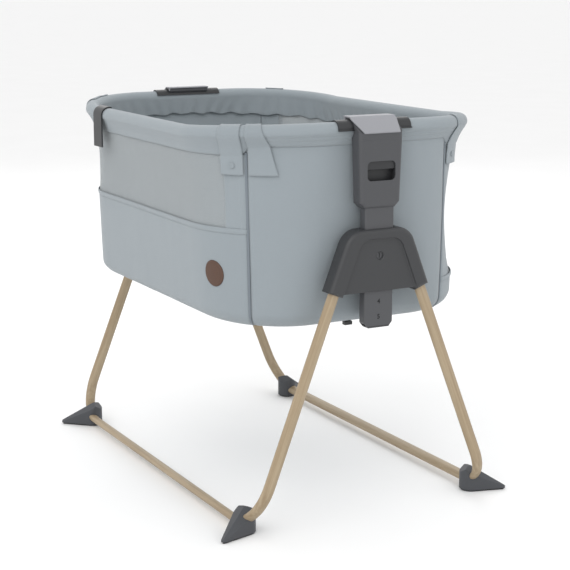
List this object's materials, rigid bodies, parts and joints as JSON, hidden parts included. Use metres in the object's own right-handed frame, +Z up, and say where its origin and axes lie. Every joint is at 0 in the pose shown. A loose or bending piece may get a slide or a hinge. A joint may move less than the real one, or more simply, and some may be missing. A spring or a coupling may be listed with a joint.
{
  "type": "bassinet on stand",
  "caption": "Bedside bassinet: an oval fabric basket with mesh sides on two sliding columns, held by a two-legged tube stand.",
  "frame": {"origin": "on the floor under the middle of the basket", "axes": "+Z up, Y along the basket with the near end at -Y, X across it"},
  "size_m": [0.638, 0.905, 0.7679],
  "materials": {
    "frame_finish": "wood-look printed coating on steel tube, satin",
    "dark_shell": "fine moulded texture",
    "hub_shell": "fine moulded texture",
    "housing_shell": "fine moulded texture",
    "flap_shell": "fine moulded texture, light grey",
    "trigger_shell": "fine moulded texture, dark",
    "rail_shell": "smooth dark moulding",
    "sole_rubber": "matt non-slip rubber",
    "zinc_steel": "zinc plated",
    "spring_steel": "oiled spring wire",
    "post_finish": "powder coated aluminium extrusion",
    "rim_metal": "powder coated steel tube",
    "nylon": "unfilled nylon",
    "fabric": "woven melange polyester",
    "mesh": "fine knitted breathable mesh",
    "zip_tape": "woven tape with a nylon coil",
    "mattress_cover": "quilted cotton",
    "board": "pressed board",
    "badge_leather": "brown embossed leather, mark left out"
  },
  "bodies": {
    "stand": {"left_leg_frame": "frame_finish", "right_leg_frame": "frame_finish", "near_left_foot": "dark_shell", "near_right_foot": "dark_shell", "far_left_foot": "dark_shell", "far_right_foot": "dark_shell", "sole_pads": "sole_rubber", "foot_screws": "zinc_steel", "leg_pins": "zinc_steel", "hub_screws": "zinc_steel", "near_hub_cover": "hub_shell", "far_hub_cover": "hub_shell", "near_hub_back": "hub_shell", "far_hub_back": "hub_shell", "slide_liners": "nylon", "latch_racks": "zinc_steel"},
    "columns": {"near_post": "post_finish", "far_post": "post_finish", "post_plugs": "hub_shell", "near_housing": "housing_shell", "far_housing": "housing_shell", "housing_backs": "housing_shell", "trigger_frames": "trigger_shell", "near_collar": "housing_shell", "far_collar": "housing_shell", "hinge_pins": "zinc_steel", "housing_screws": "zinc_steel", "near_trigger_springs": "spring_steel", "far_trigger_springs": "spring_steel"},
    "basket": {"left_rim_tube": "rim_metal", "right_rim_tube": "rim_metal", "left_rim_cover": "fabric", "right_rim_cover": "fabric", "near_slide_rail": "rail_shell", "far_slide_rail": "rail_shell", "rail_rivets": "zinc_steel", "near_end_wall": "fabric", "far_end_wall": "fabric", "left_lower_wall": "fabric", "right_lower_wall": "fabric", "left_mesh_panel": "mesh", "right_mesh_panel": "mesh", "corner_zips": "zip_tape", "corner_tabs": "fabric", "base_ring": "rim_metal", "base_board": "board", "base_cloth": "fabric", "mattress": "mattress_cover", "badge": "badge_leather", "side_hook": "rail_shell", "base_clips": "rail_shell"},
    "near_trigger": {"near_trigger": "trigger_shell", "near_pull_rod": "zinc_steel"},
    "near_bolt": {"near_latch_bolt": "zinc_steel"},
    "near_flap": {"near_release_flap": "flap_shell"},
    "far_trigger": {"far_trigger": "trigger_shell", "far_pull_rod": "zinc_steel"},
    "far_bolt": {"far_latch_bolt": "zinc_steel"},
    "far_flap": {"far_release_flap": "flap_shell"}
  },
  "joints": [
    {"name": "height_slide", "type": "slide", "parent": "stand", "child": "columns", "axis": [0, 0, 1], "range_m": [0, 0.116]},
    {"name": "cross_slide", "type": "slide", "parent": "columns", "child": "basket", "axis": [1, 0, 0], "range_m": [-0.02, 0.02]},
    {"name": "near_trigger_pull", "type": "slide", "parent": "columns", "child": "near_trigger", "axis": [0, 0, 1], "range_m": [0, 0.007], "stiffness_N_per_m": 600, "springref_m": -0.006, "deforming": ["near_trigger_springs"]},
    {"name": "near_bolt_retract", "type": "slide", "parent": "columns", "child": "near_bolt", "axis": [0, -1, 0], "range_m": [0, 0.0035]},
    {"name": "near_flap_lift", "type": "hinge", "parent": "columns", "child": "near_flap", "pos_m": [0, -0.394, 0.7625], "axis": [-1, 0, 0], "range_deg": [0, 14], "stiffness_Nm_per_rad": 0.08, "springref_deg": -20.05},
    {"name": "far_trigger_pull", "type": "slide", "parent": "columns", "child": "far_trigger", "axis": [0, 0, 1], "range_m": [0, 0.007], "stiffness_N_per_m": 600, "springref_m": -0.006, "deforming": ["far_trigger_springs"]},
    {"name": "far_bolt_retract", "type": "slide", "parent": "columns", "child": "far_bolt", "axis": [0, 1, 0], "range_m": [0, 0.0035]},
    {"name": "far_flap_lift", "type": "hinge", "parent": "columns", "child": "far_flap", "pos_m": [0, 0.394, 0.7625], "axis": [1, 0, 0], "range_deg": [0, 14], "stiffness_Nm_per_rad": 0.08, "springref_deg": -20.05}
  ],
  "couplings": [
    {"joint": "near_bolt_retract", "follows": "near_trigger_pull", "ratio": 0.5},
    {"joint": "far_bolt_retract", "follows": "far_trigger_pull", "ratio": 0.5}
  ]
}
